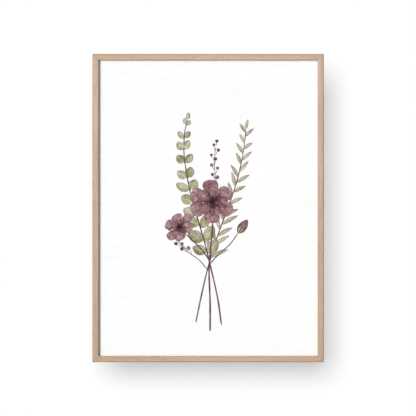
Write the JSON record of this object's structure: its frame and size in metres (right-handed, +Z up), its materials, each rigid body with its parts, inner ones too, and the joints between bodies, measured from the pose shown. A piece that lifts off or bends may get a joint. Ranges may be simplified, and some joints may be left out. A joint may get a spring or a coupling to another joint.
{
  "type": "framed print",
  "caption": "Botanical print behind a clear pane in a slim mitred raw oak frame, with turn buttons holding the back in and a toothed hanger.",
  "frame": {"origin": "the point in the wall's plane where a nail carries the middle notch of the toothed hanger", "axes": "+Z up, +Y into the wall, +X to the right as seen from the front; the picture faces -Y"},
  "size_m": [0.462, 0.0235, 0.6155],
  "materials": {
    "raw_oak": "matte",
    "clear_glass": "gloss",
    "cotton_paper": "matte",
    "corrugated_card": "matte",
    "fibreboard": "matte",
    "zinc_plate": "satin",
    "brassed_steel": "satin",
    "grey_rubber": "matte"
  },
  "bodies": {
    "picture": {"rail_top": "raw_oak", "rail_bottom": "raw_oak", "rail_left": "raw_oak", "rail_right": "raw_oak", "glass_pane": "clear_glass", "print_sheet": "cotton_paper", "filler_board": "corrugated_card", "backing_board": "fibreboard", "corner_nail_top_left": "zinc_plate", "corner_nail_top_right": "zinc_plate", "corner_nail_bottom_left": "zinc_plate", "corner_nail_bottom_right": "zinc_plate", "turn_button_screw_top_left": "zinc_plate", "turn_button_screw_top_right": "zinc_plate", "turn_button_screw_bottom_left": "zinc_plate", "turn_button_screw_bottom_right": "zinc_plate", "turn_button_screw_left_upper": "zinc_plate", "turn_button_screw_left_lower": "zinc_plate", "turn_button_screw_right_upper": "zinc_plate", "turn_button_screw_right_lower": "zinc_plate", "hanger_strip": "brassed_steel", "hanger_screw_left": "zinc_plate", "hanger_screw_right": "zinc_plate", "bumper_left": "grey_rubber", "bumper_right": "grey_rubber"},
    "button_top_left": {"turn_button_top_left": "zinc_plate"},
    "button_top_right": {"turn_button_top_right": "zinc_plate"},
    "button_bottom_left": {"turn_button_bottom_left": "zinc_plate"},
    "button_bottom_right": {"turn_button_bottom_right": "zinc_plate"},
    "button_left_upper": {"turn_button_left_upper": "zinc_plate"},
    "button_left_lower": {"turn_button_left_lower": "zinc_plate"},
    "button_right_upper": {"turn_button_right_upper": "zinc_plate"},
    "button_right_lower": {"turn_button_right_lower": "zinc_plate"}
  },
  "joints": [
    {"name": "swivel_top_left", "type": "hinge", "parent": "picture", "child": "button_top_left", "pos_m": [-0.118, 0, 0.0042], "axis": [0, 1, 0], "continuous": true},
    {"name": "swivel_top_right", "type": "hinge", "parent": "picture", "child": "button_top_right", "pos_m": [0.118, 0, 0.0042], "axis": [0, 1, 0], "continuous": true},
    {"name": "swivel_bottom_left", "type": "hinge", "parent": "picture", "child": "button_bottom_left", "pos_m": [-0.118, 0, -0.6043], "axis": [0, 1, 0], "continuous": true},
    {"name": "swivel_bottom_right", "type": "hinge", "parent": "picture", "child": "button_bottom_right", "pos_m": [0.118, 0, -0.6043], "axis": [0, 1, 0], "continuous": true},
    {"name": "swivel_left_upper", "type": "hinge", "parent": "picture", "child": "button_left_upper", "pos_m": [-0.2275, 0, -0.13805], "axis": [0, 1, 0], "continuous": true},
    {"name": "swivel_left_lower", "type": "hinge", "parent": "picture", "child": "button_left_lower", "pos_m": [-0.2275, 0, -0.46205], "axis": [0, 1, 0], "continuous": true},
    {"name": "swivel_right_upper", "type": "hinge", "parent": "picture", "child": "button_right_upper", "pos_m": [0.2275, 0, -0.13805], "axis": [0, 1, 0], "continuous": true},
    {"name": "swivel_right_lower", "type": "hinge", "parent": "picture", "child": "button_right_lower", "pos_m": [0.2275, 0, -0.46205], "axis": [0, 1, 0], "continuous": true}
  ]
}
